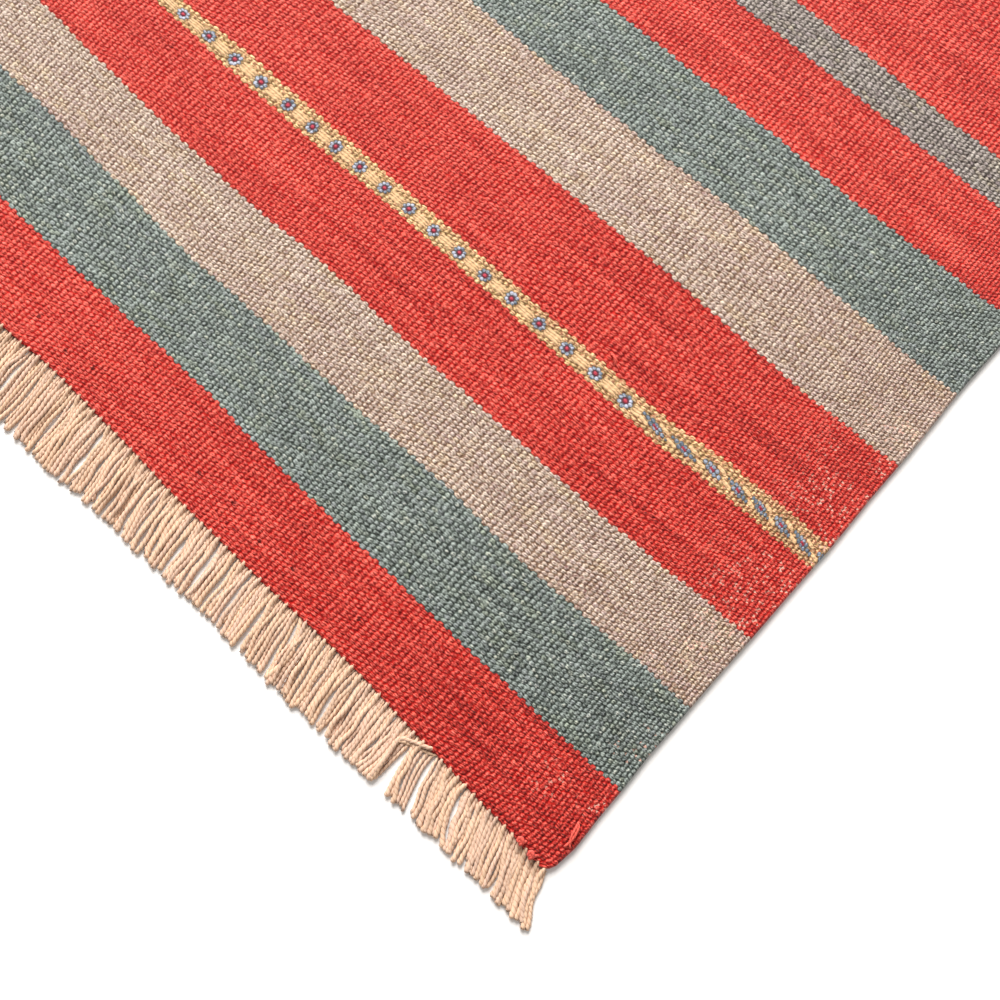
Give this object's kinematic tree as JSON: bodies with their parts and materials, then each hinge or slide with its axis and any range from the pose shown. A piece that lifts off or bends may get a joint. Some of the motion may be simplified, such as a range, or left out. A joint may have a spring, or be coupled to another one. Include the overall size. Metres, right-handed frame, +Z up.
{
  "type": "striped flat-woven kilim rug",
  "caption": "Flat-woven wool kilim in bands of red, grey-green and beige with narrow patterned bands, a cut cotton warp fringe at both ends, lying flat.",
  "frame": {"origin": "centre of the bounding box, on the underside that rests on the floor", "axes": "+X along the weft from selvedge to selvedge, +Y along the warp from the near fringe to the far fringe, +Z up out of the face"},
  "size_m": [1.032, 1.568, 0.0026],
  "materials": {
    "wool_weft": "matt weft-faced wool",
    "cotton_warp_near": "matt undyed plied cotton",
    "cotton_warp_far": "matt undyed plied cotton"
  },
  "bodies": {
    "root": {"woven_ground": "wool_weft", "fringe_near_end": "cotton_warp_near", "fringe_far_end": "cotton_warp_far"}
  },
  "joints": []
}
